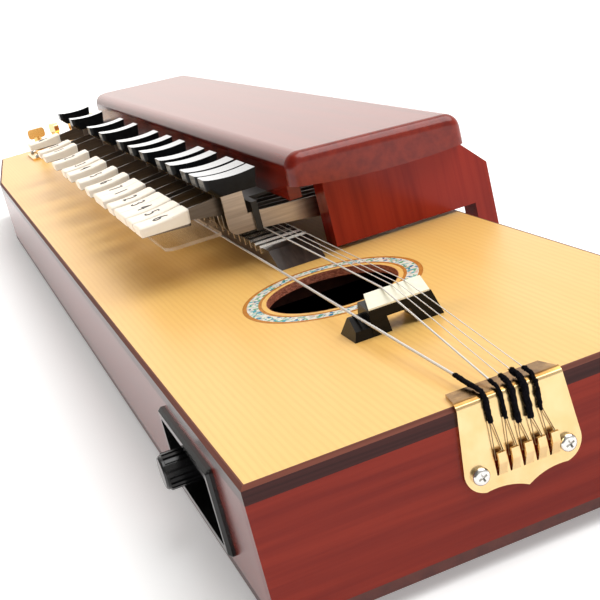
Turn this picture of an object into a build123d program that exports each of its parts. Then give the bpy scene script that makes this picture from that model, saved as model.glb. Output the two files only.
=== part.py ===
from build123d import *
import os

# Electric taishogoto (Nagoya harp).  Millimetres.  Measured while modelling from the tail end of the
# soundboard: x = 0 there and runs negative to the pegs, y = 0 is the player's edge of the soundboard
# and y grows to the back, z = 0 is the top of the soundboard.
ORIGIN_SHIFT = (385.9, -76.1, 47.0)  # puts the origin at the bottom centre of the whole instrument

# Sound box
BOARD_W = 144.0  # width of the soundboard
BODY_L = 640.0  # straight length, from the tail to where the head starts to narrow
HEAD_L = 135.0  # length of the narrowing head
HEAD_NARROWS = 14.0  # how far each side of the head comes in
RIM = 1.5  # sides stand this far outside the soundboard
SIDE_T = 5.0  # thickness of the sides
BOARD_T = 3.0  # thickness of soundboard and back board
BODY_H = 42.0  # soundboard top to back board bottom
BAND_H = 5.0  # dark band round the top of the sides
EDGE_BEVEL = 1.0
BRACE_X = (-18.0, -100.0, -170.0, -310.0, -430.0, -550.0)
BRACE_SIZE = 8.0  # width and depth of a brace
FOOT_H = 5.0
FOOT_R = 7.0
FOOT_X = (-35.0, -620.0)
FOOT_INSET = 18.0
HOLE_X = -130.5  # sound hole centre
HOLE_R = 23.9
ROSETTE_RADII = (25.8, 27.0, 31.2, 32.8)  # inner ring, mosaic and outer ring meet at these radii
ROSETTE_T = 0.6
CLEAR = 1.0  # cutting tools stand this far outside what they cut

# Strings
SCALE = 563.0  # speaking length, nut to saddle
SADDLE_X = -75.0
NUT_X = SADDLE_X - SCALE
KEYS = 27  # one key and one fret for each semitone
BLACK_KEYS = (1, 3, 6, 8, 11, 13, 15, 18, 20, 23, 25, 27)
DRONE_Z = 6.0  # height of the low step of the bridge and of the nut under the drone string
SADDLE_Z = 11.9
NUT_Z = 9.0
STRING_R = (0.45, 0.30, 0.16, 0.16, 0.16)
NUT_Y = (60.3, 74.0, 77.2, 80.0, 83.0)  # where each string crosses the nut
SADDLE_Y = (60.3, 71.0, 74.3, 76.4, 78.8)  # and the saddle
TAIL_Y = (64.6, 68.9, 72.1, 75.6, 79.0)  # and the tailpiece
LUG_Y = (65.0, 68.9, 72.8, 76.7, 80.6)
WINDING_START_X = (-12.2, -2.4, -2.2, -2.6, -2.2)
WINDING_END_Z = (-6.4, -6.9, -9.0, -9.0, -8.0)
WINDING_R = (0.75, 0.65, 0.9, 1.0, 0.75)
WINDING_GAP = 0.2  # yarn to metal
LOOP_R = 0.14  # wire loop between winding and hook
LOOP_X = 3.1
LOOP_Z = -16.8

# Fingerboard
NECK_Y = (66.2, 85.2)
NECK_H = 6.3
FRET_H = 0.9
FRET_W = 1.6
FRET_TAB = 0.8  # bent-down end of a fret: how far out it stands
FRET_TAB_Z = 3.8  # and how low it reaches
NECK_END = 20.0  # fingerboard's length past the last fret
NECK_SLOPE = 10.6  # run of the slope at that end
NUT_T = 3.0

# Bridge: two feet under a ridge, all seen along y
BRIDGE_FOOT_X = (-81.0, -67.9)
BRIDGE_TOP_X = (-76.2, -67.2)
BRIDGE_TOP_Z = (9.6, 8.7)
BRIDGE_Y = (56.5, 86.8)
STEP_Y = 62.7  # the low step for the drone string ends here
ARCH_Z = 5.3

# Keyboard
PIVOT_Y = 134.0  # common pivot rod of the keys
PIVOT_Z = 13.0
ROD_R = 2.0
FIT = 0.04  # running clearance on a radius
LEVER_T = 1.2
KEY_BEHIND_FRET = 2.9
BLACK_W = 12.2
WHITE_W = 12.8
WHITE_SHIFT = {22: 1.4, 21: -2.5, 17: 0.5, 16: -0.5}  # caps bent aside where two white keys are neighbours
BLOCK_T = 12.0  # end blocks of the keyboard
BLOCK_X = (-175.0, -612.0)  # tail-side faces of the right and left block
LID_X = (-626.0, -168.0)
LID_Y = (77.3, 150.5)
LID_ROUND = 6.0  # radius of the long top edges
LID_END_ROUND = 4.5
FRONT_BOARD_T = 5.0
LID_TOP_Z = (43.6, 39.9)  # at its two long edges, before rounding
LID_RIM_Z = 27.8
FRONT_BOARD_Z = 25.0
END_RIM_Z = (27.4, 27.3, 30.9)  # lower edge of the overhanging end, from the back to the front
LID_CORNER = (20.0, 14.0)  # cut off at the far end, along x and y
LEG_BACK_Y = 160.4
LEG_BOTTOM_Z = -26.0
LEG_SCREW_Z = -20.0
ROD_END = 3.0  # wood left beyond each end of the pivot rod
COMB_Y = (66.6, 69.2)
COMB_Z = (13.0, 25.0)
COMB_STOP_Z = 21.2  # top of the slots
COMB_SLOT = 1.8
GUARD_X_END = -208.5
GUARD_Y = (31.6, 55.2)
GUARD_Z = (12.3, 13.8)
GUARD_ARMS = (22, 11, 1)  # an arm stands behind each of these keys
GUARD_ARM_W = 3.0
LEVER_TOP_BLACK = 31.2
LEVER_SHIN = (55.9, 17.2)
LEVER_TOE = (59.4, 13.7)

# Pegs
PEG_X = -728.0
PEG_Y = (42.0, 56.5, 71.0, 85.5, 100.0)
PEG_TURN = (84, 12, -18, 24, 50)  # each wing stands at its own angle, as after tuning
POST_R = 3.0
PLATE_T = 1.6
BUSH_TOP = 4.0
PLATE_HALF = 22.0  # half the peg plate's size along x
PLATE_Y = (32.0, 112.0)
PLATE_SCREWS = ((-17.0, 37.0), (17.0, 37.0), (-17.0, 107.0), (17.0, 107.0))  # x from the pegs, y
POST_Z = (-7.0, 15.0)
WING = (13.2, 3.6)  # width and thickness
WING_Z = (14.0, 21.5)

# Controls
PANEL_X = (-95.3, -33.1)
PANEL_Z = (-34.6, -7.8)
BEZEL = 3.0
BEZEL_T = 2.1
POCKET_FLOOR_Y = 6.0
WALL = 1.2
KNOB_X = -77.0
CONTROL_Z = -21.9
KNOB_R = 5.9
KNOB_FRONT_Y = -10.0
KNOB_RIBS = 18
KNOB_POINTER_TURN = 30.0
NECK_R = 3.6  # threaded neck of the potentiometer
JACK_NECK_R = 4.6
JACK_NUT_R = 6.2
JACK_DEEP_Y = 22.0
SHAFT_R = 3.0
JACK_X = -48.0
JACK_R = 3.2

# Tailpiece
TAIL_T = 1.0
TAIL_X = RIM + TAIL_T  # front face of the tailpiece
SCREW_Y = (59.0, 84.7)
SCREW_Z = -19.6
SCREW_R = 1.3
HEAD_R = 2.5
HEAD_T = 1.8
TAIL_MID_Y = BOARD_W / 2
FLAP_X = -6.3
BEND_R = 2.0
HOOK_Z = (-21.5, -14.6)
HOOK_W = 2.3
HOOK_TIP_X = 4.6
HOOK_T = 0.9


def fret_x(n):
    """Place of fret n, an equal-tempered semitone at a time from the nut."""
    return SADDLE_X - SCALE * 2 ** (-n / 12)


def lever_x(n):
    """Middle of the lever of key n, just on the nut side of its fret."""
    return fret_x(n) - KEY_BEHIND_FRET


def box(x, y, z):
    """Box between the two values of each pair."""
    size = Box(abs(x[1] - x[0]), abs(y[1] - y[0]), abs(z[1] - z[0]))
    return Pos((x[0] + x[1]) / 2, (y[0] + y[1]) / 2, (z[0] + z[1]) / 2) * size


def slab_yz(outline, x):
    """Solid with an outline in y and z, between two x values."""
    return extrude(Plane.YZ.offset(min(x)) * make_face(outline), abs(x[1] - x[0]))


def slab_xz(outline, y):
    """Solid with an outline in x and z, between two y values."""
    return extrude(Plane.XZ.offset(-max(y)) * make_face(outline), abs(y[1] - y[0]))


def slab_xy(outline, z):
    """Solid with an outline in x and y, between two z values."""
    return extrude(Plane.XY.offset(min(z)) * make_face(outline), abs(z[1] - z[0]))


def closed(*points):
    return Polyline(*points, close=True)


def rod_x(y, z, r, x):
    """Cylinder along x."""
    return Pos((x[0] + x[1]) / 2, y, z) * Rot(0, 90, 0) * Cylinder(r, abs(x[1] - x[0]))


def rod_y(x, z, r, y):
    """Cylinder along y."""
    return Pos(x, (y[0] + y[1]) / 2, z) * Rot(90, 0, 0) * Cylinder(r, abs(y[1] - y[0]))


def rod_z(x, y, r, z):
    """Cylinder along z."""
    return Pos(x, y, (z[0] + z[1]) / 2) * Cylinder(r, abs(z[1] - z[0]))


def tube_along(points, r, sides):
    """Prism of a regular section that follows straight runs, mitred at each corner."""
    start = Plane(origin=points[0], z_dir=Vector(*points[1]) - Vector(*points[0]))
    return sweep(start * RegularPolygon(r, sides), path=Polyline(*points), transition=Transition.RIGHT)


def body_outline(out):
    """Plan of the instrument, grown by out on every side."""
    corner = out * HEAD_NARROWS / HEAD_L
    return closed(
        (out, -out),
        (-BODY_L, -out),
        (-BODY_L - HEAD_L - out, HEAD_NARROWS - out + corner),
        (-BODY_L - HEAD_L - out, BOARD_W - HEAD_NARROWS + out - corner),
        (-BODY_L, BOARD_W + out),
        (out, BOARD_W + out),
    )


def soundboard():
    board = slab_xy(body_outline(0), (-BOARD_T, 0))
    board -= rod_z(HOLE_X, BOARD_W / 2, HOLE_R, (-BOARD_T - 1, 1))
    board -= rosette_ring(ROSETTE_RADII[0], ROSETTE_RADII[-1])
    for y in PEG_Y:
        board -= rod_z(PEG_X, y, POST_R + 0.5, (-BOARD_T - 1, 1))
    for x, y in plate_screws():
        board -= rod_z(x, y, SCREW_R, (-BOARD_T - 1, 1))
    return board


def rosette_ring(inner, outer):
    z = (-ROSETTE_T, 0)
    return rod_z(HOLE_X, BOARD_W / 2, outer, z) - rod_z(HOLE_X, BOARD_W / 2, inner, z)


def rosette():
    return [rosette_ring(a, b) for a, b in zip(ROSETTE_RADII, ROSETTE_RADII[1:])]


def edge_band():
    band = slab_xy(body_outline(RIM), (-BAND_H, 0))
    band = chamfer(band.faces().sort_by(Axis.Z)[-1].edges(), EDGE_BEVEL)
    band -= slab_xy(body_outline(0), (-BOARD_T, 1))
    return band - slab_xy(body_outline(RIM - SIDE_T), (-BAND_H - 1, 0))


def side_ring():
    z = (-BODY_H + BOARD_T, -BAND_H)
    return slab_xy(body_outline(RIM), z) - slab_xy(body_outline(RIM - SIDE_T), z)


def two_boards(side):
    """A long side as two straight boards that meet where the head starts to narrow."""
    wide = (-20, BOARD_W + 20)
    straight = side & box((-BODY_L, 20), wide, (-BODY_H, 0))
    slanting = side & box((-BODY_L - HEAD_L - 20, -BODY_L), wide, (-BODY_H, 0))
    return [straight, slanting]


def side_boards():
    """The sides: tail and head boards run the full width, and the long sides butt against them."""
    ring = side_ring()
    inside = (-BODY_L - HEAD_L - RIM + SIDE_T, RIM - SIDE_T)
    depth = (-BODY_H, 0)
    wide = (-20, BOARD_W + 20)
    tail = ring & box((inside[1], 20), wide, depth)
    head = ring & box((inside[0] - 20, inside[0]), wide, depth)
    front = ring & box(inside, (-20, BOARD_W / 2), depth)
    rear = ring & box(inside, (BOARD_W / 2, BOARD_W + 20), depth)
    front -= panel_tray_outside(0.2)
    for y in SCREW_Y:
        tail -= rod_x(y, SCREW_Z, SCREW_R, (RIM - SIDE_T, RIM))
    for x in BLOCK_X:
        rear -= leg_screw_hole(x)
    long_sides = {"side_front": two_boards(front), "side_rear": two_boards(rear)}
    return {**long_sides, "tail_board": tail, "head_board": head}


def back_board():
    return slab_xy(body_outline(RIM), (-BODY_H, -BODY_H + BOARD_T))


def braces():
    half = BRACE_SIZE / 2
    y = (SIDE_T, BOARD_W - SIDE_T)
    return [box((x - half, x + half), y, (-BOARD_T - BRACE_SIZE, -BOARD_T)) for x in BRACE_X]


def feet():
    places = [(x, y) for x in FOOT_X for y in (FOOT_INSET, BOARD_W - FOOT_INSET)]
    return [rod_z(x, y, FOOT_R, (-BODY_H - FOOT_H, -BODY_H)) for x, y in places]


def fingerboard():
    """Its tail end slopes down to the soundboard."""
    end = fret_x(KEYS) + NECK_END
    return slab_xz(closed((NUT_X, 0), (end, 0), (end - NECK_SLOPE, NECK_H), (NUT_X, NECK_H)), NECK_Y)


def frets():
    """Crowns across the fingerboard, each with its front end bent down over the edge."""
    pieces = []
    for n in range(1, KEYS + 1):
        x = fret_x(n)
        crown = closed(
            (x - FRET_W / 2, NECK_H),
            (x + FRET_W / 2, NECK_H),
            (x + FRET_W / 4, NECK_H + FRET_H),
            (x - FRET_W / 4, NECK_H + FRET_H),
        )
        fret = slab_xz(crown, (NECK_Y[0] - FRET_TAB, NECK_Y[1]))
        tab_y = (NECK_Y[0] - FRET_TAB, NECK_Y[0])
        fret += box((x - FRET_W / 2, x + FRET_W / 2), tab_y, (FRET_TAB_Z, NECK_H))
        pieces.append(fret)
    return pieces


def nut():
    outline = closed((57, 0), (57, DRONE_Z), (66, DRONE_Z), (69, NUT_Z), (86, NUT_Z), (86, 0))
    return slab_yz(outline, (NUT_X - NUT_T, NUT_X))


def bridge():
    """A-shaped in section, with a low step for the drone string and an arch between its feet."""
    back, front = BRIDGE_FOOT_X
    along = (back - CLEAR, front + 2 * CLEAR)
    ridge = [(BRIDGE_TOP_X[0], BRIDGE_TOP_Z[0]), (BRIDGE_TOP_X[1], BRIDGE_TOP_Z[1])]
    tall = slab_xz(closed((back, 0), *ridge, (front, 0)), (STEP_Y, BRIDGE_Y[1] + CLEAR))
    tall &= slab_yz(closed((STEP_Y, 0), (STEP_Y, 12), (83.8, 12), (83.8, 9), (BRIDGE_Y[1], 0)), along)
    tall -= slab_yz(closed((69, 0), (68.2, ARCH_Z), (76, ARCH_Z), (78.8, 0)), along)
    step = [(BRIDGE_TOP_X[0], DRONE_Z), (-74.6, DRONE_Z), (-68.2, 3.2)]
    low = slab_xz(closed((back, 0), *step, (front, 0)), (BRIDGE_Y[0], STEP_Y))
    low &= slab_yz(closed((BRIDGE_Y[0], 0), (58.3, DRONE_Z), (STEP_Y, DRONE_Z), (STEP_Y, 0)), along)
    return tall + low


def saddle():
    """Bone wedge on top of the bridge, with slanted ends."""
    back, front = BRIDGE_TOP_X
    z_back, z_front = BRIDGE_TOP_Z
    section = closed((back, z_back), (SADDLE_X, SADDLE_Z), (front, z_front + 0.5), (front, z_front))
    ends = slab_xy(closed((-67, STEP_Y), (-76.4, 65.3), (-76.4, 84.4), (-67, 83.4)), (8, SADDLE_Z + CLEAR))
    return slab_xz(section, (60, 90)) & ends


def tail_flap():
    """Top of the tailpiece, on the soundboard, and the bend over the edge."""
    centre_x, margin = 0.5, 0.6
    near, far = 57 - 0.4, 2 * TAIL_MID_Y - 57 + 0.4
    flap = closed((FLAP_X, 57.9), (FLAP_X, 2 * TAIL_MID_Y - 58.8), (centre_x, far - 0.4), (centre_x, 57))
    bend = rod_y(centre_x, -TAIL_T, BEND_R, (near, far))
    bend -= rod_y(centre_x, -TAIL_T, BEND_R - TAIL_T, (near - margin, far + margin))
    bend &= box((centre_x, centre_x + BEND_R + CLEAR), (near - margin, far + margin), (-TAIL_T, BEND_R))
    return slab_xy(flap, (0, TAIL_T)) + bend


def tail_plate():
    """Front of the tailpiece: a shield with a pointed, waved lower edge."""
    left = [(56.6, -TAIL_T), (54.8, -18.5), (56.4, -22.9), (60, -24.9), (66.5, -25.1), (TAIL_MID_Y, -27.2)]
    right = [(2 * TAIL_MID_Y - y, z) for y, z in left]
    outline = Polyline(left[0], left[1]) + ThreePointArc(left[1], left[2], left[3])
    outline += ThreePointArc(left[3], left[4], left[5]) + ThreePointArc(right[5], right[4], right[3])
    outline += ThreePointArc(right[3], right[2], right[1]) + Polyline(right[1], right[0], left[0])
    return slab_yz(outline, (RIM, TAIL_X))


def tailpiece():
    """Plate bent over the tail edge, with five hooks pressed out of it for the string loops."""
    plate = tail_flap() + tail_plate()
    low, high = HOOK_Z
    tip = (HOOK_TIP_X, HOOK_TIP_X - HOOK_T)
    outer = [(TAIL_X, low), (tip[0], low + 4), (tip[0], high)]
    inner = [(tip[1], high), (tip[1], low + 4.5), (RIM, low + 1)]
    hook = closed((RIM, low), *outer, *inner)
    for y in LUG_Y:
        plate -= box((RIM - CLEAR, TAIL_X + CLEAR), (y - 1.3, y + 1.6), (low, high - 0.8))
        plate += slab_xz(hook, (y + 1.5 - HOOK_W, y + 1.5))
    for y in SCREW_Y:
        plate -= rod_x(y, SCREW_Z, SCREW_R, (0, TAIL_X + CLEAR))
    return plate


def string_path(k):
    """Middle line of string k from its peg over nut and saddle to the tailpiece."""
    low = DRONE_Z if k == 0 else NUT_Z
    high = DRONE_Z if k == 0 else SADDLE_Z
    r = STRING_R[k]
    off = WINDING_R[k] + WINDING_GAP
    return [
        (PEG_X + 3.3, PEG_Y[k], 6.0),
        (NUT_X - 1.5, NUT_Y[k], low + r + 0.07),
        (SADDLE_X, SADDLE_Y[k], high + r),
        (1.7, TAIL_Y[k], TAIL_T + off),
        (TAIL_X + off, TAIL_Y[k], 0.3),
        (TAIL_X + off, TAIL_Y[k], WINDING_END_Z[k] + 0.5),
    ]


def strings():
    """Five strings, each with the wire loop that hooks it to the tailpiece."""
    pieces = []
    for k, r in enumerate(STRING_R):
        pieces.append(tube_along(string_path(k), r, 8))
        x = TAIL_X + WINDING_R[k] + WINDING_GAP
        top = WINDING_END_Z[k] + 0.2
        loop = [
            (x, TAIL_Y[k] - 0.35, top),
            (LOOP_X, LUG_Y[k] - 1.05, LOOP_Z),
            (LOOP_X, LUG_Y[k] + 1.75, LOOP_Z),
            (x, TAIL_Y[k] + 0.35, top),
        ]
        pieces.append(tube_along(loop, LOOP_R, 6))
    return pieces


def string_windings():
    """Yarn wound round the tail end of each string."""
    wires = strings()
    pieces = []
    for k in range(len(STRING_R)):
        path = string_path(k)
        a, b = path[2], path[3]
        t = (WINDING_START_X[k] - a[0]) / (b[0] - a[0])
        start = tuple(p + t * (q - p) for p, q in zip(a, b))
        end = path[5][:2] + (WINDING_END_Z[k],)
        pieces.append(tube_along([start, b, path[4], end], WINDING_R[k], 12) - wires)
    return pieces


def roof_z(y):
    """Underside of the lid's sloping top, which rests on the end blocks."""
    return 36.6 - 0.048 * (y - 82.3)


def end_block(x):
    """Block that carries one end of the keyboard, with a leg down behind the sound box."""
    side = BOARD_W + RIM
    outline = closed(
        (91.3, 1.8),
        (91.3, roof_z(91.3)),
        (144.4, roof_z(144.4)),
        (144.4, LID_RIM_Z),
        (149, LID_RIM_Z),
        (LEG_BACK_Y, 16.1),
        (LEG_BACK_Y, LEG_BOTTOM_Z),
        (side, LEG_BOTTOM_Z),
        (side, -14),
        (152.2, -14),
        (152.2, 1.2),
        (144.5, 1.2),
    )
    block = slab_yz(outline, (x - BLOCK_T, x)) - leg_screw_hole(x)
    return block - pivot_rod()


def leg_screw_hole(x):
    return rod_y(x - BLOCK_T / 2, LEG_SCREW_Z, SCREW_R, (BOARD_W + RIM - SIDE_T, LEG_BACK_Y))


def block_right():
    return end_block(BLOCK_X[0])


def block_left():
    return end_block(BLOCK_X[1])


def pivot_rod():
    return rod_x(PIVOT_Y, PIVOT_Z, ROD_R, (BLOCK_X[1] - BLOCK_T + ROD_END, BLOCK_X[0] - ROD_END))


def high_edges(shape):
    return shape.edges().filter_by(lambda e: e.center().Z > LID_RIM_Z + 8)


def lid_stretch(rim, x, end):
    """Length of the cover between two places, with rounded long top edges and one rounded end."""
    piece = slab_yz(Polyline((LID_Y[0], LID_TOP_Z[0]), (LID_Y[1], LID_TOP_Z[1])) + rim, x)
    piece = fillet(high_edges(piece).filter_by(Axis.X), LID_ROUND)
    return fillet(high_edges(piece.faces().sort_by(Axis.X)[end]), LID_END_ROUND)


def lid():
    """Keyboard cover: sloping top, rounded edges, open below, deeper front board, one corner cut off."""
    front, rear = LID_Y
    inner = front + FRONT_BOARD_T
    board = [(inner, LID_RIM_Z), (inner, FRONT_BOARD_Z), (front, FRONT_BOARD_Z), (front, LID_TOP_Z[0])]
    long_rim = Polyline((rear, LID_TOP_Z[1]), (rear, LID_RIM_Z), *board)
    back, middle, fore = [(rear, END_RIM_Z[0]), (110, END_RIM_Z[1]), (front, END_RIM_Z[2])]
    end_rim = Line((rear, LID_TOP_Z[1]), back) + ThreePointArc(back, middle, fore)
    end_rim += Line(fore, (front, LID_TOP_Z[0]))
    cover = lid_stretch(long_rim, (LID_X[0], BLOCK_X[0]), 0)
    cover += lid_stretch(end_rim, (BLOCK_X[0], LID_X[1]), -1)
    a, b = LID_CORNER
    corner = closed((LID_X[0], front - 0.3), (LID_X[0], front - 0.3 + b), (LID_X[0] + a, front - 0.3))
    cover -= slab_xy(corner, (FRONT_BOARD_Z - CLEAR, LID_TOP_Z[0] + CLEAR))
    room = closed((inner, LID_RIM_Z), (inner, roof_z(inner)), (144.4, roof_z(144.4)), (144.4, LID_RIM_Z))
    return cover - slab_yz(room, (BLOCK_X[1] - BLOCK_T, BLOCK_X[0]))


def guide_comb():
    """Slotted rail that keeps the levers upright and stops them going up, hung from the lid's front."""
    ends = (lever_x(1) - 6.0, lever_x(KEYS) + 2.3)
    comb = box(ends, COMB_Y, COMB_Z)
    half = COMB_SLOT / 2
    for n in range(1, KEYS + 1):
        x = lever_x(n)
        slot_y = (COMB_Y[0] - CLEAR, COMB_Y[1] + CLEAR)
        comb -= box((x - half, x + half), slot_y, (COMB_Z[0] - CLEAR, COMB_STOP_Z))
    flange = box((ends[0], ends[1] - BLOCK_T), (COMB_Y[0], LID_Y[0] + FRONT_BOARD_T), (23.8, COMB_Z[1]))
    return comb + flange


def guard_plate():
    """Clear plate under the white keys, held by three arms between the levers."""
    guard = box((NUT_X + 4, GUARD_X_END), GUARD_Y, GUARD_Z)
    guard = fillet(guard.edges().filter_by(Axis.Z).group_by(Axis.Y)[0], 5)
    for n in GUARD_ARMS:
        x = (lever_x(n) + lever_x(n + 1)) / 2
        guard += box((x - GUARD_ARM_W / 2, x + GUARD_ARM_W / 2), (50, COMB_Y[0]), GUARD_Z)
    return guard


def arm_points():
    """Rear part of every lever: over the strings and back to the pivot."""
    top = [(PIVOT_Y, PIVOT_Z + 4.2), (64.8, 20.9)]
    bottom = [(66.5, 13.7), (84, 12.0), (91, 11.0), (PIVOT_Y - 6, PIVOT_Z - 3.8), (PIVOT_Y, PIVOT_Z - 4.2)]
    return top, bottom


def lever(n):
    """Thin plate that stands on edge; a white key's reaches further forward into its cap."""
    top, bottom = arm_points()
    if n in BLACK_KEYS:
        front = [(64.8, LEVER_TOP_BLACK), (LEVER_SHIN[0], LEVER_TOP_BLACK)]
    else:
        front = [(64.8, 29.5), (LEVER_SHIN[0], 29.5), (43, 28.2), (24.5, 26.2), (24.5, 24.9), (44, 23.4)]
        front.append((LEVER_SHIN[0], 21.6))
    outline = Polyline(*top, *front, LEVER_SHIN) + ThreePointArc(LEVER_SHIN, (56.9, 14.7), LEVER_TOE)
    outline += Polyline(LEVER_TOE, *bottom)
    outline += ThreePointArc(bottom[-1], (PIVOT_Y + 4.2, PIVOT_Z), top[0])
    x = lever_x(n)
    plate = slab_yz(outline, (x - LEVER_T / 2, x + LEVER_T / 2))
    return plate - rod_x(PIVOT_Y, PIVOT_Z, ROD_R + FIT, (x - CLEAR, x + CLEAR))


def upright_edges(cap, y):
    """Straight edges of a cap that stand across x, on one side of y: (low, high)."""
    lines = cap.edges().filter_by(GeomType.LINE)
    return [e for e in lines if y[0] < e.center().Y < y[1] and abs(e.tangent_at(0).X) < 0.5]


def black_cap(n):
    """Block with a hollowed top, rounded front corners and an undercut front."""
    front, rear = (49.8, 39.2), (71.0, 38.8)
    outline = ThreePointArc(rear, (60.5, 38.0), front)
    outline += Polyline(front, (50.0, 34.6), (53.2, LEVER_TOP_BLACK), (69.6, LEVER_TOP_BLACK), rear)
    x = lever_x(n)
    cap = slab_yz(outline, (x - BLACK_W / 2, x + BLACK_W / 2))
    return fillet(upright_edges(cap, (45, 52)), 2.0)


def white_cap(n):
    """Low cap that rises a little to the back and carries the number of its note."""
    front, rear = (21.5, 27.5), (42.9, 29.6)
    outline = ThreePointArc(rear, (32, 27.9), front) + Polyline(front, (22.0, 23.4), (42.3, 22.5), rear)
    x = lever_x(n) + WHITE_SHIFT.get(n, 0)
    cap = slab_yz(outline, (x - WHITE_W / 2, x + WHITE_W / 2))
    cap = fillet(upright_edges(cap, (42, 45)), 2.0)
    return fillet(cap.faces().sort_by(Axis.Z)[-1].edges(), 0.9) - lever(n)


def key(n):
    cap = black_cap(n) if n in BLACK_KEYS else white_cap(n)
    return [lever(n), cap]


def rounded_frame(x, z, y, r):
    """Box along y with rounded upright corners, seen from the player's side."""
    return fillet(box(x, y, z).edges().filter_by(Axis.Y), r)


def panel_tray_outside(gap):
    x = (PANEL_X[0] + BEZEL - WALL - gap, PANEL_X[1] - BEZEL + WALL + gap)
    z = (PANEL_Z[0] + BEZEL - WALL - gap, PANEL_Z[1] - BEZEL + WALL + gap)
    return box(x, (-RIM, POCKET_FLOOR_Y + WALL), z)


def panel_with_pocket():
    """Bezel with a sunk tray."""
    face_y = -RIM - BEZEL_T
    bezel = rounded_frame(PANEL_X, PANEL_Z, (face_y, -RIM), 1.2)
    bezel = chamfer(bezel.faces().sort_by(Axis.Y)[0].edges(), 1.0)
    pocket_x = (PANEL_X[0] + BEZEL, PANEL_X[1] - BEZEL)
    pocket_z = (PANEL_Z[0] + BEZEL, PANEL_Z[1] - BEZEL)
    panel = bezel + panel_tray_outside(0)
    return panel - rounded_frame(pocket_x, pocket_z, (face_y - CLEAR, POCKET_FLOOR_Y), 1)


def potentiometer():
    back = POCKET_FLOOR_Y + WALL
    pot = rod_y(KNOB_X, CONTROL_Z, 8, (back, back + 8))
    pot += rod_y(KNOB_X, CONTROL_Z, NECK_R, (POCKET_FLOOR_Y - 1.5, back))
    return pot - rod_y(KNOB_X, CONTROL_Z, SHAFT_R + FIT, (POCKET_FLOOR_Y - 3, back + 7))


def output_jack():
    jack = rod_y(JACK_X, CONTROL_Z, JACK_NECK_R, (POCKET_FLOOR_Y - 2, JACK_DEEP_Y))
    jack += rod_y(JACK_X, CONTROL_Z, JACK_NUT_R, (POCKET_FLOOR_Y - 1.4, POCKET_FLOOR_Y))
    return jack - rod_y(JACK_X, CONTROL_Z, JACK_R, (0, JACK_DEEP_Y - 2))


def control_panel():
    """Sunk panel, the potentiometer behind it and the output jack through it."""
    floor = (POCKET_FLOOR_Y - CLEAR, POCKET_FLOOR_Y + WALL + CLEAR)
    panel = panel_with_pocket()
    panel -= rod_y(KNOB_X, CONTROL_Z, NECK_R, floor)
    panel -= rod_y(JACK_X, CONTROL_Z, JACK_NECK_R, floor)
    return [panel, potentiometer(), output_jack()]


def volume_knob():
    """Ribbed knob on its shaft, with a pointer let into the side."""
    front, rear = KNOB_FRONT_Y, POCKET_FLOOR_Y - 2.0
    knob = rod_y(KNOB_X, CONTROL_Z, KNOB_R - 0.5, (front, rear))
    knob = chamfer(knob.edges().filter_by(GeomType.CIRCLE).sort_by(Axis.Y)[0], 0.6)
    for i in range(KNOB_RIBS):
        turn = Pos(KNOB_X, 0, CONTROL_Z) * Rot(0, 360 / KNOB_RIBS * i, 0)
        knob += turn * box((-0.55, 0.55), (front + 1.4, rear), (KNOB_R - 1.4, KNOB_R))
    pointer = box((KNOB_R - 1.6, KNOB_R + 0.05), (front + 0.8, rear), (-0.9, 0.9))
    pointer = Pos(KNOB_X, 0, CONTROL_Z) * Rot(0, -KNOB_POINTER_TURN, 0) * pointer
    knob -= pointer
    knob -= rod_y(KNOB_X, CONTROL_Z, SHAFT_R, (front + 3, rear + CLEAR))
    shaft = rod_y(KNOB_X, CONTROL_Z, SHAFT_R, (front + 3, POCKET_FLOOR_Y + WALL + 6))
    return [knob, pointer, shaft]


def plate_screws():
    return [(PEG_X + dx, y) for dx, y in PLATE_SCREWS]


def peg_plate():
    plate = box((PEG_X - PLATE_HALF, PEG_X + PLATE_HALF), PLATE_Y, (0, PLATE_T))
    plate = fillet(plate.edges().filter_by(Axis.Z), 4)
    for y in PEG_Y:
        plate += rod_z(PEG_X, y, POST_R + 1.5, (PLATE_T, BUSH_TOP))
        plate -= rod_z(PEG_X, y, POST_R + FIT, (-CLEAR, BUSH_TOP + CLEAR))
    for x, y in plate_screws():
        plate -= rod_z(x, y, SCREW_R, (-CLEAR, PLATE_T + CLEAR))
    return plate


def peg(k):
    """Post held by a collar above the bush and a nut below the soundboard, with a winged head."""
    y = PEG_Y[k]
    post = rod_z(PEG_X, y, POST_R, POST_Z)
    post += rod_z(PEG_X, y, POST_R + 1.2, (BUSH_TOP + 0.1, BUSH_TOP + 1))
    post += rod_z(PEG_X, y, POST_R + 1.5, (-BOARD_T - 2.6, -BOARD_T - 0.1))
    wing = rounded_frame((-WING[0] / 2, WING[0] / 2), WING_Z, (-WING[1] / 2, WING[1] / 2), 2.4)
    return post + Pos(PEG_X, y, 0) * Rot(0, 0, PEG_TURN[k]) * wing


def pan_screw(length):
    """Pan-head screw pointing down from z = 0, with a cross recess."""
    head = Pos(0, 0, HEAD_T / 2) * Cylinder(HEAD_R, HEAD_T)
    head = fillet(head.edges().filter_by(GeomType.CIRCLE).sort_by(Axis.Z)[-1], 1.1)
    head -= Pos(0, 0, HEAD_T - 0.3) * (Box(2.6, 0.6, 1.4) + Box(0.6, 2.6, 1.4))
    return head + Pos(0, 0, -length / 2) * Cylinder(SCREW_R, length)


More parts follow.
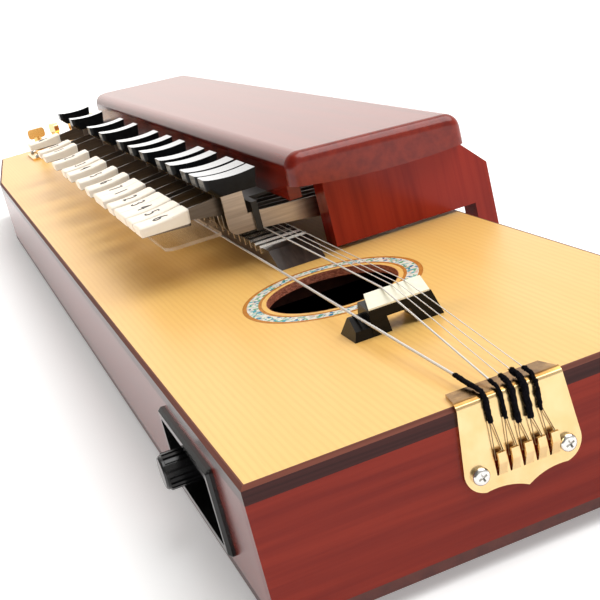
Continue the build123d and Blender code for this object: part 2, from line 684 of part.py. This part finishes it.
def screws():
    """Screws of the tailpiece, the peg plate and the two legs."""
    sideways = Rot(0, 90, 0) * Rot(0, 0, 20)
    tail = [Pos(TAIL_X, y, SCREW_Z) * sideways * pan_screw(TAIL_T + SIDE_T) for y in SCREW_Y]
    upright = [Pos(x, y, PLATE_T) * pan_screw(PLATE_T + BOARD_T) for x, y in plate_screws()]
    length = LEG_BACK_Y - BOARD_W - RIM + SIDE_T
    leg_screw = Rot(-90, 0, 0) * pan_screw(length)
    legs = [Pos(x - BLOCK_T / 2, LEG_BACK_Y, LEG_SCREW_Z) * leg_screw for x in BLOCK_X]
    return tail + upright + legs


def write(name, shape):
    solids = shape if isinstance(shape, list) else [shape]
    moved = [Pos(*ORIGIN_SHIFT) * s for s in solids]
    export_step(moved[0] if len(moved) == 1 else Compound(children=moved), f"parts/{name}.step")


def main():
    os.makedirs("parts", exist_ok=True)
    single = (
        soundboard, rosette, edge_band, back_board, braces, feet, fingerboard, frets, nut, bridge, saddle,
        tailpiece, strings, string_windings, block_right, block_left, pivot_rod, lid, guide_comb,
        guard_plate, control_panel, volume_knob, peg_plate, screws,
    )
    for make in single:
        write(make.__name__, make())
    for name, board in side_boards().items():
        write(name, board)
    for n in range(1, KEYS + 1):
        write(f"key_{n:02d}", key(n))
    for k in range(len(PEG_Y)):
        write(f"peg_{k + 1}", peg(k))


main()
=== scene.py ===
import math

import bpy
from mathutils import Matrix, Vector


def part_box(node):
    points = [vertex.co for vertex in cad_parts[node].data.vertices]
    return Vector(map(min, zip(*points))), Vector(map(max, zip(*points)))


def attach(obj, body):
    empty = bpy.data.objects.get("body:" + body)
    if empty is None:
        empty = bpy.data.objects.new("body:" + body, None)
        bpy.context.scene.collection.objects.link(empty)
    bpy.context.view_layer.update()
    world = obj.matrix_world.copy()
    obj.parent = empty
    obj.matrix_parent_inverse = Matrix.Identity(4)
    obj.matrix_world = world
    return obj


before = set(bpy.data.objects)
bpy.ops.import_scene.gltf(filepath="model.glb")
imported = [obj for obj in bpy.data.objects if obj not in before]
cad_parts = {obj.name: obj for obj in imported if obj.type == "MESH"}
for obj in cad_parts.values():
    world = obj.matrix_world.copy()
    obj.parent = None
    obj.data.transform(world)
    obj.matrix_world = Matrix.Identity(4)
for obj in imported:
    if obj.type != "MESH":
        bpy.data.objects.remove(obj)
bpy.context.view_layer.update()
MM = 0.001

# The soundboard's tail edge, player's edge and top are the zero lines of every place below.
board_low, board_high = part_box("soundboard")
ZERO = Vector((board_high[0], board_low[1], board_high[2]))

# Camera: place in mm from the zero lines, angles in radians, lens and sensor in mm
CAMERA_AT = (272.1, -46.7, 122.7)
CAMERA_YAW = 0.2580
CAMERA_PITCH = 0.2873
CAMERA_ROLL = -0.2513
LENS = 74.16
SENSOR = 36.0

# Places that the materials change at, in mm from the zero lines
HOLE_X = -130.5
HOLE_Y = 72.0
HOLE_R = 23.9
HOLE_WALL = 0.15  # how far outside the hole's radius its wall is still painted
MOSAIC_R = (27.0, 31.2)  # the mosaic lies between the rosette's two plain rings
LOOPS_FROM_X = 1.6  # the strings' bare loops hang outside the tail board
FLAP_ABOVE_Z = 0.3  # the tailpiece's flap lies on top of the soundboard
WHITE_CAP_ENDS_Y = 43.0
WHITE_CAP_ABOVE_Z = 23.5
BLACK_CAP_ABOVE_Z = 31.15

# Note numbers on the white caps, in mm and degrees
LABEL_SIZE = 9.5
LABEL_THICKNESS = 0.10
LABEL_THINNING = -0.1
LABEL_Y = 31.5
LABEL_Z = 27.98
LABEL_TILT = 5.0

# Yarn on the strings' ends: the size and the relief of its lumps and fibres, in mm
YARN_VOXEL = 0.16
YARN_ROUGHNESS = (("lumps", 1.6, 0.75), ("fibres", 0.35, 0.6))
YARN_MID_LEVEL = 0.63  # over 0.5, so that the yarn gets a little thinner than its solid

# Turns of string round each peg, lengths in mm
COIL_TURNS = 4
COIL_STEPS = 20
COIL_WIRE_R = 0.28
COIL_R = 3.2
COIL_FROM_Z = 6.0
COIL_PITCH = 0.6

# Floor and light: metres and radians
FLOOR_HALF = 30.0
FLOOR_GLOW = 0.3
SKY_STRENGTH = 1.46
SUN_STRENGTH = 2.7
SUN_ANGLE = 1.0
SUN_SHINES_ALONG = (-0.20, -0.48, -0.85)

WHITE_NOTES = {
    2: "6", 4: "7", 5: "1", 7: "2", 9: "3", 10: "4", 12: "5", 14: "6",
    16: "7", 17: "1", 19: "2", 21: "3", 22: "4", 24: "5", 26: "6",
}
KEY_NUMBERS = range(1, 28)
PEG_NUMBERS = range(1, 6)


def at(x, y, z):
    """A place in mm from the zero lines, as a vector in metres in the row frame."""
    return ZERO + Vector((x, y, z)) * MM


# ---------------------------------------------------------------- node helpers


def add(tree, kind, settings=None, **inputs):
    """A shader node, whose inputs are values or other nodes' sockets.

    The input A_B is the socket called 'A B', and i3 is the socket with number 3.
    """
    item = tree.nodes.new(kind)
    for name, value in (settings or {}).items():
        setattr(item, name, value)
    for name, value in inputs.items():
        socket = item.inputs[int(name[1:])] if name[1:].isdigit() else item.inputs[name.replace("_", " ")]
        if isinstance(value, bpy.types.NodeSocket):
            tree.links.new(value, socket)
        else:
            socket.default_value = value
    return item


def material(name, **values):
    """A Principled material with uniform values on the shader's own sockets."""
    made = bpy.data.materials.new(name)
    made.use_nodes = True
    tree = made.node_tree
    shader = tree.nodes["Principled BSDF"]
    for key, value in values.items():
        shader.inputs[key.replace("_", " ")].default_value = value
    return made, tree, shader


def place(tree, scale=(1, 1, 1), shift=(0, 0, 0)):
    """Object coordinates in metres, measured from a place in mm from the zero lines, times scale."""
    start = add(tree, "ShaderNodeTexCoord").outputs["Object"]
    moved = add(tree, "ShaderNodeVectorMath", {"operation": "SUBTRACT"}, i0=start, i1=tuple(at(*shift)))
    scaled = add(tree, "ShaderNodeVectorMath", {"operation": "MULTIPLY"}, i0=moved.outputs[0], i1=scale)
    return scaled.outputs[0]


def maths(tree, operation, a, b=0.0):
    """What a Math node makes of two numbers or sockets."""
    return add(tree, "ShaderNodeMath", {"operation": operation}, i0=a, i1=b).outputs[0]


def noise(tree, vector, scale, detail=3.0, roughness=0.5):
    """Smooth noise from 0 to 1."""
    item = add(
        tree, "ShaderNodeTexNoise", None, Vector=vector, Scale=scale, Detail=detail, Roughness=roughness
    )
    return item.outputs["Fac"]


def ramp(tree, factor, stops, constant=False):
    """The colour that stops, pairs of position and colour, give for factor."""
    item = add(tree, "ShaderNodeValToRGB", None, Fac=factor)
    if constant:
        item.color_ramp.interpolation = "CONSTANT"
    elements = item.color_ramp.elements
    while len(elements) < len(stops):
        elements.new(0.5)
    for element, (position, colour) in zip(elements, stops):
        element.position = position
        element.color = (*colour, 1.0)
    return item.outputs["Color"]


def mix(tree, factor, a, b, blend="MIX"):
    """Colour a where factor is 0 and b where it is 1, or the two blended another way."""
    item = add(tree, "ShaderNodeMix", {"data_type": "RGBA", "blend_type": blend}, i0=factor, i6=a, i7=b)
    return item.outputs[2]


def rgba(colour):
    return (*colour, 1.0)


def grey(value):
    return (value,) * 3


def bump(tree, shader, height, distance, strength=1.0):
    """Relief of the surface's shading; distance is its depth in mm."""
    item = add(tree, "ShaderNodeBump", None, Height=height, Distance=distance * MM, Strength=strength)
    tree.links.new(item.outputs["Normal"], shader.inputs["Normal"])


def colour_in(tree, shader, socket):
    tree.links.new(socket, shader.inputs["Base Color"])


def parts_of(tree):
    """The separate X, Y and Z in mm from the zero lines."""
    item = add(tree, "ShaderNodeSeparateXYZ", None, Vector=place(tree, (1000, 1000, 1000)))
    return item.outputs["X"], item.outputs["Y"], item.outputs["Z"]


def radius_from_hole(tree):
    """Distance in mm from the axis of the sound hole."""
    flat = place(tree, (1000, 1000, 0), (HOLE_X, HOLE_Y, 0))
    return add(tree, "ShaderNodeVectorMath", {"operation": "LENGTH"}, i0=flat).outputs["Value"]


# ---------------------------------------------------------------- materials


def spruce():
    """Straight-grained lacquered spruce; the wall of the sound hole is rough and stained red-brown."""
    made, tree, shader = material("spruce", Roughness=0.33, IOR=1.45, Specular_IOR_Level=0.4)
    grain_at = place(tree, (0.02, 1, 0.2))
    lines = add(
        tree, "ShaderNodeTexWave", {"bands_direction": "Y"},
        Vector=grain_at, Scale=150.0, Distortion=2.2, Detail=2.0, Detail_Scale=30.0,
    ).outputs["Fac"]
    pale = [(0.0, (0.70, 0.440, 0.138)), (0.45, (0.75, 0.495, 0.160)), (1.0, (0.77, 0.515, 0.170))]
    colour = ramp(tree, lines, pale)
    wide = noise(tree, place(tree, (1.2, 26, 1)), 3.0, 2.0)
    colour = mix(tree, wide, colour, rgba((0.74, 0.44, 0.125)))
    fleck = noise(tree, place(tree, (60, 900, 10)), 1.0, 2.0)
    fleck = ramp(tree, fleck, [(0.60, grey(0.0)), (0.72, grey(0.25))])
    colour = mix(tree, fleck, colour, rgba((0.64, 0.37, 0.105)))
    radius = radius_from_hole(tree)
    wall = maths(tree, "LESS_THAN", radius, HOLE_R + HOLE_WALL)
    rough_wood = noise(tree, place(tree, (700, 700, 1600)), 1.0, 4.0, 0.7)
    wall_colour = ramp(tree, rough_wood, [(0.35, (0.17, 0.036, 0.020)), (0.65, (0.58, 0.19, 0.105))])
    colour_in(tree, shader, mix(tree, wall, colour, wall_colour))
    bump(tree, shader, maths(tree, "MULTIPLY", rough_wood, wall), 0.5)
    return made


def rosette():
    """Orange-brown rings each side of a mosaic of small coloured chips."""
    made, tree, shader = material("rosette", Roughness=0.25, IOR=1.45)
    chips = add(
        tree, "ShaderNodeTexVoronoi", {"feature": "F1"},
        Vector=place(tree, (1, 1, 0)), Scale=880.0, Randomness=1.0,
    )
    pick = add(tree, "ShaderNodeSeparateColor", None, Color=chips.outputs["Color"]).outputs[0]
    chip_colours = [
        (0.00, (0.80, 0.78, 0.68)), (0.34, (0.58, 0.57, 0.50)),
        (0.46, (0.72, 0.50, 0.40)), (0.54, (0.80, 0.78, 0.64)),
        (0.64, (0.07, 0.36, 0.42)), (0.74, (0.34, 0.60, 0.54)),
        (0.82, (0.03, 0.16, 0.32)), (0.90, (0.14, 0.38, 0.18)),
    ]
    mosaic = ramp(tree, pick, chip_colours, constant=True)
    radius = radius_from_hole(tree)
    past_inner_ring = maths(tree, "GREATER_THAN", radius, MOSAIC_R[0])
    before_outer_ring = maths(tree, "LESS_THAN", radius, MOSAIC_R[1])
    band = maths(tree, "MULTIPLY", past_inner_ring, before_outer_ring)
    wood = noise(tree, place(tree, (40, 40, 40)), 8.0)
    ring = ramp(tree, wood, [(0.3, (0.46, 0.16, 0.025)), (0.7, (0.62, 0.26, 0.05))])
    colour_in(tree, shader, mix(tree, band, ring, mosaic))
    return made


def lacquer(name, grain_scale, specular=0.5, light=(0.235, 0.018, 0.007), dark=(0.16, 0.009, 0.004)):
    """Gloss red lacquer over wood; grain_scale stretches the grain along the piece."""
    made, tree, shader = material(name, Roughness=0.2, IOR=1.5, Specular_IOR_Level=specular)
    streaks = noise(tree, place(tree, grain_scale), 1.0, 5.0, 0.6)
    colour_in(tree, shader, ramp(tree, streaks, [(0.35, dark), (0.62, light)]))
    ripple = noise(tree, place(tree, (30, 30, 30)), 1.0, 2.0)
    bump(tree, shader, ripple, 0.06, 0.4)
    return made


def edge_wood():
    """Dark stained band with a chamfer along its top edge; faces that point up are painted paler and the
    sides darker, as painted light and shade.
    """
    made, tree, shader = material("edge_wood", IOR=1.42, Specular_IOR_Level=0.25)
    normal = add(tree, "ShaderNodeNewGeometry").outputs["True Normal"]
    up = add(tree, "ShaderNodeSeparateXYZ", None, Vector=normal).outputs["Z"]
    streaks = noise(tree, place(tree, (8, 8, 900)), 1.0, 3.0)
    # Painted light and shade: faces that point up get the paler colour, the sides the darker one.
    lit_bevel = ramp(tree, streaks, [(0.3, (0.11, 0.026, 0.014)), (0.7, (0.18, 0.048, 0.028))])
    side = ramp(tree, streaks, [(0.3, (0.028, 0.007, 0.007)), (0.7, (0.055, 0.014, 0.012))])
    colour_in(tree, shader, mix(tree, maths(tree, "GREATER_THAN", up, 0.3), side, lit_bevel))
    gloss = ramp(tree, up, [(0.30, grey(0.22)), (0.50, grey(0.55))])
    tree.links.new(gloss, shader.inputs["Roughness"])
    return made


def plain_wood(name, light, dark, scale, roughness=0.5, specular=0.5):
    """Bare or stained wood; scale stretches the grain along its smallest number."""
    made, tree, shader = material(name, Roughness=roughness, IOR=1.45, Specular_IOR_Level=specular)
    streaks = noise(tree, place(tree, scale), 1.0, 5.0, 0.6)
    colour_in(tree, shader, ramp(tree, streaks, [(0.35, dark), (0.65, light)]))
    bump(tree, shader, streaks, 0.05, 0.4)
    return made


def metal(name, colour, roughness, brushed=(300, 300, 300)):
    """Metal with slight stains and fine brushing, along the axis with the smallest number in brushed."""
    made, tree, shader = material(name, Metallic=1.0)
    fine = noise(tree, place(tree, brushed), 10.0, 4.0, 0.6)
    stained = tuple(c * 0.88 for c in colour)
    colour_in(tree, shader, ramp(tree, fine, [(0.3, stained), (0.7, colour)]))
    spread = ramp(tree, fine, [(0.3, grey(roughness * 0.8)), (0.7, grey(roughness * 1.2))])
    tree.links.new(spread, shader.inputs["Roughness"])
    return made


def gold_plate():
    """Polished gold plate; the flap on top of the board is tarnished darker."""
    made, tree, shader = material("gold_plate", Metallic=1.0, Roughness=0.24)
    height = parts_of(tree)[2]
    stain = noise(tree, place(tree, (60, 60, 60)), 3.0, 4.0)
    bright = ramp(tree, stain, [(0.3, (0.78, 0.54, 0.25)), (0.7, (0.84, 0.62, 0.33))])
    tarnish = ramp(tree, stain, [(0.35, (0.16, 0.075, 0.018)), (0.7, (0.42, 0.24, 0.08))])
    is_flap = maths(tree, "GREATER_THAN", height, FLAP_ABOVE_Z)
    colour_in(tree, shader, mix(tree, is_flap, bright, tarnish))
    return made


def plastic(name, light, dark, roughness, scale=400.0, grit=0.0, specular=0.5):
    """Moulded plastic, bone or rubber with a fine speckle; grit is the speckle's depth in mm."""
    made, tree, shader = material(name, Roughness=roughness, IOR=1.49, Specular_IOR_Level=specular)
    speckle = noise(tree, place(tree), scale, 3.0)
    colour_in(tree, shader, ramp(tree, speckle, [(0.35, dark), (0.65, light)]))
    if grit:
        bump(tree, shader, speckle, grit)
    return made


def key_material(
    name, cap_tones, cap_roughness, cap_above_z, cap_ends_y=None, steel_shade=1.0, specular=0.5
):
    """A moulded cap above and in front, and the steel of the lever below and behind it, which a factor
    under 1 darkens as painted shade.
    """
    made, tree, shader = material(name, IOR=1.49, Specular_IOR_Level=specular)
    _, y, z = parts_of(tree)
    is_cap = maths(tree, "GREATER_THAN", z, cap_above_z)
    if cap_ends_y is not None:
        is_cap = maths(tree, "MULTIPLY", is_cap, maths(tree, "LESS_THAN", y, cap_ends_y))
    speckle = noise(tree, place(tree), 300.0, 3.0)
    cap = ramp(tree, speckle, [(0.3, cap_tones[0]), (0.7, cap_tones[1])])
    brushing = noise(tree, place(tree, (40, 40, 900)), 1.0, 4.0, 0.6)
    # A factor under 1 darkens the steel: painted shade.
    dull = tuple(c * steel_shade for c in (0.42, 0.36, 0.31))
    bright = tuple(c * steel_shade for c in (0.60, 0.53, 0.47))
    steel = ramp(tree, brushing, [(0.3, dull), (0.7, bright)])
    colour_in(tree, shader, mix(tree, is_cap, steel, cap))
    tree.links.new(maths(tree, "SUBTRACT", 1.0, is_cap), shader.inputs["Metallic"])
    gloss = mix(tree, is_cap, rgba(grey(0.30)), rgba(grey(cap_roughness)))
    tree.links.new(gloss, shader.inputs["Roughness"])
    return made


def acrylic():
    """Clear sheet whose cut edges are made more opaque than its faces, as a painted highlight along its
    rim.
    """
    made, tree, shader = material("acrylic", Roughness=0.05, IOR=1.49)
    normal = add(tree, "ShaderNodeNewGeometry").outputs["True Normal"]
    up = add(tree, "ShaderNodeSeparateXYZ", None, Vector=normal).outputs["Z"]
    face = maths(tree, "GREATER_THAN", maths(tree, "ABSOLUTE", up), 0.5)
    haze = noise(tree, place(tree), 60.0, 2.0)
    colour_in(tree, shader, ramp(tree, haze, [(0.3, (0.62, 0.52, 0.42)), (0.7, (0.74, 0.64, 0.54))]))
    # The cut edges' higher alpha shows more of the pale tint: a painted highlight along the rim.
    edge_highlight_alpha, face_alpha = 0.60, 0.16
    thinner = maths(tree, "MULTIPLY", face, edge_highlight_alpha - face_alpha)
    tree.links.new(maths(tree, "SUBTRACT", edge_highlight_alpha, thinner), shader.inputs["Alpha"])
    return made


def yarn():
    """Wound black yarn, fuzzy and matt."""
    made, tree, shader = material("yarn", Roughness=1.0, Specular_IOR_Level=0.05)
    fuzz = noise(tree, place(tree), 2500.0, 4.0, 0.7)
    colour_in(tree, shader, ramp(tree, fuzz, [(0.3, (0.002, 0.002, 0.003)), (0.7, (0.014, 0.012, 0.016))]))
    bump(tree, shader, fuzz, 0.3)
    return made


def wound_steel():
    """String steel with the fine rings of its winding; the loops at the tailpiece are bare bronze wire."""
    made, tree, shader = material("wound_steel", Metallic=0.55, Roughness=0.32)
    turns = add(
        tree, "ShaderNodeTexWave", {"bands_direction": "X"}, Vector=place(tree), Scale=700.0, Distortion=0.0
    ).outputs["Fac"]
    steel = ramp(tree, turns, [(0.0, (0.80, 0.76, 0.71)), (1.0, (0.96, 0.93, 0.90))])
    is_loop = maths(tree, "GREATER_THAN", parts_of(tree)[0], LOOPS_FROM_X)
    colour_in(tree, shader, mix(tree, is_loop, steel, rgba((0.22, 0.14, 0.065))))
    bump(tree, shader, turns, 0.06)
    return made


def ink():
    """Black print."""
    made, tree, shader = material("ink", Roughness=0.5)
    grain = noise(tree, place(tree), 1500.0, 2.0)
    colour_in(tree, shader, ramp(tree, grain, [(0.3, grey(0.006)), (0.7, grey(0.018))]))
    return made


def floor_material():
    """Pale paper that gives off a little light of its own."""
    glow = {"Emission_Color": (1, 1, 1, 1), "Emission_Strength": FLOOR_GLOW}
    made, tree, shader = material("floor", Roughness=0.9, **glow)
    mottle = noise(tree, place(tree), 2.0, 2.0)
    colour_in(tree, shader, ramp(tree, mottle, [(0.3, grey(0.88)), (0.7, grey(0.90))]))
    return made


def paint(made, *nodes):
    """Gives the CAD nodes this material."""
    for name in nodes:
        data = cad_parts[name].data
        data.materials.clear()
        data.materials.append(made)


def paint_woods():
    paint(spruce(), "soundboard")
    paint(rosette(), "rosette")
    paint(edge_wood(), "edge_band")
    paint(plain_wood("brace_wood", (0.10, 0.035, 0.020), (0.060, 0.020, 0.012), (30, 300, 300)), "braces")
    back = plain_wood("back_wood", (0.095, 0.018, 0.011), (0.060, 0.010, 0.007), (6, 260, 260), 0.4)
    paint(back, "back_board")
    board = plain_wood(
        "fingerboard_wood", (0.055, 0.036, 0.027), (0.028, 0.018, 0.014), (12, 700, 300), 0.35
    )
    paint(board, "fingerboard")
    black = plain_wood("black_wood", (0.012, 0.011, 0.011), grey(0.006), (300, 40, 300), 0.24, 0.15)
    paint(black, "bridge")


def paint_lacquered():
    paint(lacquer("lacquer_long", (5, 240, 240), 0.42), "side_front", "side_rear", "lid")
    paint(lacquer("lacquer_ends", (60, 8, 260), 0.22), "tail_board", "head_board")
    # The blocks get a brighter copy of the same red lacquer, as painted light; their grain runs upright.
    upright = lacquer(
        "lacquer_upright_brightened", (300, 260, 10), 0.22, light=(0.32, 0.022, 0.010), dark=(0.23, 0.012, 0.006)
    )
    paint(upright, "block_right", "block_left")


def paint_metals():
    paint(metal("fret_metal", (0.93, 0.90, 0.84), 0.25), "frets")
    paint(gold_plate(), "tailpiece")
    paint(metal("gold", (0.95, 0.64, 0.26), 0.22), "peg_plate", *(f"peg_{k}" for k in PEG_NUMBERS))
    paint(metal("bright_screw", (0.80, 0.79, 0.76), 0.18), "screws")
    paint(metal("rod_steel", grey(0.60), 0.3, (30, 600, 600)), "pivot_rod")
    paint(wound_steel(), "strings")


def paint_plastics():
    paint(plastic("bone", (0.86, 0.83, 0.68), (0.80, 0.77, 0.60), 0.35), "saddle", "nut")
    paint(plastic("comb_black", (0.022, 0.020, 0.018), (0.012, 0.011, 0.010), 0.4), "guide_comb")
    paint(plastic("panel_black", grey(0.012), grey(0.008), 0.13, specular=0.4), "control_panel")
    paint(plastic("knob_black", (0.014, 0.014, 0.015), (0.008, 0.008, 0.009), 0.22), "volume_knob")
    paint(plastic("foot_rubber", grey(0.020), grey(0.010), 0.8, 900.0, 0.1), "feet")
    paint(acrylic(), "guard_plate")
    paint(yarn(), "string_windings")


def paint_keys():
    ivory_tones = ((0.82, 0.78, 0.69), (0.86, 0.82, 0.74))
    # The white keys' lever steel is darkened to 0.35 as painted shade from the cover above it.
    ivory = key_material(
        "white_key", ivory_tones, 0.42, WHITE_CAP_ABOVE_Z, WHITE_CAP_ENDS_Y, steel_shade=0.35
    )
    ebony_tones = ((0.005, 0.005, 0.006), (0.008, 0.009, 0.010))
    ebony = key_material("black_key", ebony_tones, 0.16, BLACK_CAP_ABOVE_Z, specular=0.14)
    for n in KEY_NUMBERS:
        paint(ivory if n in WHITE_NOTES else ebony, f"key_{n:02d}")


# ---------------------------------------------------------------- pieces


def mesh_of(name, curve):
    """The mesh that a curve or a text makes."""
    bent = bpy.data.objects.new(name, curve)
    bpy.context.collection.objects.link(bent)
    bpy.context.view_layer.update()
    mesh = bpy.data.meshes.new_from_object(bent)
    bpy.data.objects.remove(bent)
    return mesh


def piece(name, mesh, made, body):
    """A mesh as a piece of one material that rides on a body."""
    mesh.materials.clear()
    mesh.materials.append(made)
    made_piece = bpy.data.objects.new(name, mesh)
    bpy.context.collection.objects.link(made_piece)
    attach(made_piece, body)


def note_labels():
    """The number of its note on each white cap, printed upright for the player."""
    made = ink()
    for n, text in WHITE_NOTES.items():
        curve = bpy.data.curves.new(f"note_{n:02d}", "FONT")
        curve.body = text
        curve.size = LABEL_SIZE * MM
        curve.extrude = LABEL_THICKNESS * MM
        curve.offset = LABEL_THINNING * MM
        curve.align_x = "CENTER"
        curve.align_y = "CENTER"
        mesh = mesh_of(f"note_{n:02d}", curve)
        low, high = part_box(f"key_{n:02d}")
        centre = at(0, LABEL_Y, LABEL_Z)
        centre.x = (low[0] + high[0]) / 2
        mesh.transform(Matrix.Translation(centre) @ Matrix.Rotation(math.radians(LABEL_TILT), 4, "X"))
        piece(f"note_{n:02d}", mesh, made, f"key_body_{n:02d}")


def fuzzy_yarn():
    """Lumps and stray fibres on the yarn, as modifiers over the plain windings."""
    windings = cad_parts["string_windings"]
    skin = windings.modifiers.new("skin", "REMESH")
    skin.mode = "VOXEL"
    skin.voxel_size = YARN_VOXEL * MM
    for name, grain, height in YARN_ROUGHNESS:
        clouds = bpy.data.textures.new(name, "CLOUDS")
        clouds.noise_scale = grain * MM
        clouds.noise_depth = 2
        push = windings.modifiers.new(name, "DISPLACE")
        push.texture = clouds
        push.texture_coords = "LOCAL"
        push.mid_level = YARN_MID_LEVEL
        push.strength = height * MM


def peg_coils():
    """The end of each string wound in a few turns round its post."""
    made = wound_steel()
    for k in PEG_NUMBERS:
        low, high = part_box(f"peg_{k}")
        centre_x, centre_y = (low[0] + high[0]) / 2, (low[1] + high[1]) / 2
        curve = bpy.data.curves.new(f"coil_{k}", "CURVE")
        curve.dimensions = "3D"
        curve.bevel_depth = COIL_WIRE_R * MM
        curve.bevel_resolution = 2
        spline = curve.splines.new("POLY")
        spline.points.add(COIL_TURNS * COIL_STEPS)
        for i, point in enumerate(spline.points):
            turn = i / COIL_STEPS
            along_x = centre_x + COIL_R * MM * math.cos(2 * math.pi * turn)
            along_y = centre_y + COIL_R * MM * math.sin(2 * math.pi * turn)
            point.co = (along_x, along_y, ZERO.z + (COIL_FROM_Z + COIL_PITCH * turn) * MM, 1)
        piece(f"coil_{k}", mesh_of(f"coil_{k}", curve), made, f"peg_body_{k}")


def floor():
    """A pale floor wide enough to reach the horizon in every view."""
    mesh = bpy.data.meshes.new("floor")
    corners = [(x * FLOOR_HALF, y * FLOOR_HALF, 0) for x, y in ((-1, -1), (1, -1), (1, 1), (-1, 1))]
    mesh.from_pydata(corners, [], [(0, 1, 2, 3)])
    mesh.materials.append(floor_material())
    plane = bpy.data.objects.new("floor", mesh)
    bpy.context.collection.objects.link(plane)


# ---------------------------------------------------------------- light and camera


def softbox(name, place_at, target, width, height, radiance):
    """Flat rectangular lamp of even brightness, in metres, facing its target."""
    data = bpy.data.lights.new(name, "AREA")
    data.shape = "RECTANGLE"
    data.size = width
    data.size_y = height
    data.energy = radiance * math.pi * width * height
    lamp = bpy.data.objects.new(name, data)
    lamp.location = place_at
    lamp.rotation_euler = (Vector(target) - Vector(place_at)).to_track_quat("-Z", "Z").to_euler()
    bpy.context.collection.objects.link(lamp)
    return lamp


def room():
    """White behind the pegs, greyer over the tail and darkest on the player's side."""
    world = bpy.data.worlds.new("studio")
    bpy.context.scene.world = world
    world.use_nodes = True
    tree = world.node_tree
    direction = add(tree, "ShaderNodeTexCoord").outputs["Generated"]
    split = add(tree, "ShaderNodeSeparateXYZ", None, Vector=direction)
    towards_pegs = maths(tree, "MULTIPLY", split.outputs["X"], -1.0)
    towards_rear = maths(tree, "ADD", split.outputs["Y"], 0.5)
    along = ramp(tree, towards_pegs, [(0.0, grey(0.42)), (0.75, grey(1.0))])
    across = ramp(tree, towards_rear, [(0.15, grey(0.30)), (0.44, grey(1.0))])
    upward = ramp(tree, split.outputs["Z"], [(0.45, (1.0, 0.97, 0.93)), (0.85, (0.92, 0.89, 0.85))])
    shade = mix(tree, 1.0, mix(tree, 1.0, along, upward, "MULTIPLY"), across, "MULTIPLY")
    background = tree.nodes["Background"]
    tree.links.new(shade, background.inputs["Color"])
    background.inputs["Strength"].default_value = SKY_STRENGTH


def sun():
    """Soft key light from above, behind the instrument and towards its tail."""
    data = bpy.data.lights.new("key_light", "SUN")
    data.energy = SUN_STRENGTH
    data.angle = SUN_ANGLE
    lamp = bpy.data.objects.new("key_light", data)
    lamp.rotation_euler = Vector(SUN_SHINES_ALONG).to_track_quat("-Z", "Y").to_euler()
    bpy.context.collection.objects.link(lamp)


def light_only(lamp, names):
    """Keeps a lamp off everything but these CAD nodes."""
    receivers = bpy.data.collections.new(f"{lamp.name}_receivers")
    for name in names:
        receivers.objects.link(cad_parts[name])
    lamp.light_linking.receiver_collection = receivers


def window():
    """A bright window beyond the pegs, which the tops of the black keys mirror."""
    lamp = softbox("window", (-2.9, 0.8, 1.25), target=(0, 0, 0.3), width=4.4, height=2.3, radiance=1.6)
    light_only(lamp, [f"key_{n:02d}" for n in KEY_NUMBERS if n not in WHITE_NOTES])


def fill():
    """Warm light from the player's side on the soundboard and the white keys."""
    lamp = softbox("fill", (-0.4, -1.5, 0.8), target=(-0.1, 0, 0.03), width=1.8, height=0.9, radiance=3.8)
    lamp.data.color = (1.0, 0.66, 0.36)
    light_only(lamp, ["soundboard", *(f"key_{n:02d}" for n in WHITE_NOTES)])


def camera():
    """The photograph's view, from above the tail on the player's side."""
    forward = Vector((
        -math.cos(CAMERA_YAW) * math.cos(CAMERA_PITCH),
        math.sin(CAMERA_YAW) * math.cos(CAMERA_PITCH),
        -math.sin(CAMERA_PITCH),
    ))
    level = forward.cross(Vector((0, 0, 1))).normalized()
    up = level.cross(forward)
    right = level * math.cos(CAMERA_ROLL) + up * math.sin(CAMERA_ROLL)
    up = up * math.cos(CAMERA_ROLL) - level * math.sin(CAMERA_ROLL)
    data = bpy.data.cameras.new("camera")
    data.sensor_width = SENSOR
    data.lens = LENS
    data.clip_start = 0.01
    view = bpy.data.objects.new("camera", data)
    turn = Matrix((right, up, -forward)).transposed().to_4x4()
    view.matrix_world = Matrix.Translation(at(*CAMERA_AT)) @ turn
    bpy.context.collection.objects.link(view)
    bpy.context.scene.camera = view


paint_woods()
paint_lacquered()
paint_metals()
paint_plastics()
paint_keys()
note_labels()
fuzzy_yarn()
peg_coils()
floor()
room()
sun()
window()
fill()
camera()
bpy.context.scene.view_settings.view_transform = "Standard"
